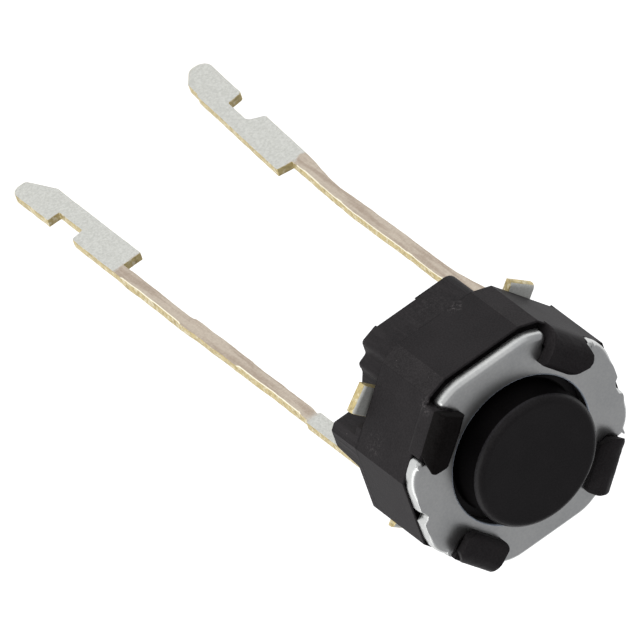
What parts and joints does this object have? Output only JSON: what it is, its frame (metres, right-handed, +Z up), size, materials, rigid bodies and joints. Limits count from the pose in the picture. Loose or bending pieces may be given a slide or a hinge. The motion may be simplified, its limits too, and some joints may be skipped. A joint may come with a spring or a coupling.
{
  "type": "tactile push button switch",
  "caption": "Small round through-hole tactile switch: black moulded body, steel cover held by staked lips, round black button, long flat leads with notched blade ends.",
  "frame": {"origin": "midway between the two leads, in the plane of the circuit board that the feet stand on", "axes": "+Z up out of the board, through the button; X along the line of the two leads, centre lead at +X; +Y towards the long flat that the picture shows"},
  "size_m": [0.0062, 0.006, 0.0184],
  "materials": {
    "housing_plastic": "matte black glass-filled nylon",
    "cover_steel": "satin stainless sheet",
    "button_plastic": "satin black nylon",
    "spring_steel": "bright stainless spring steel",
    "tinned_brass": "matt tin plate over brass"
  },
  "bodies": {
    "base": {"housing": "housing_plastic", "cover_plate": "cover_steel", "centre_lead": "tinned_brass", "ring_lead": "tinned_brass", "snap_dome": "spring_steel"},
    "push_button": {"button": "button_plastic"}
  },
  "joints": [
    {"name": "button_press", "type": "slide", "parent": "base", "child": "push_button", "axis": [0, 0, -1], "range_m": [0, 0.00025], "stiffness_N_per_m": 5200, "deforming": ["snap_dome"]}
  ]
}
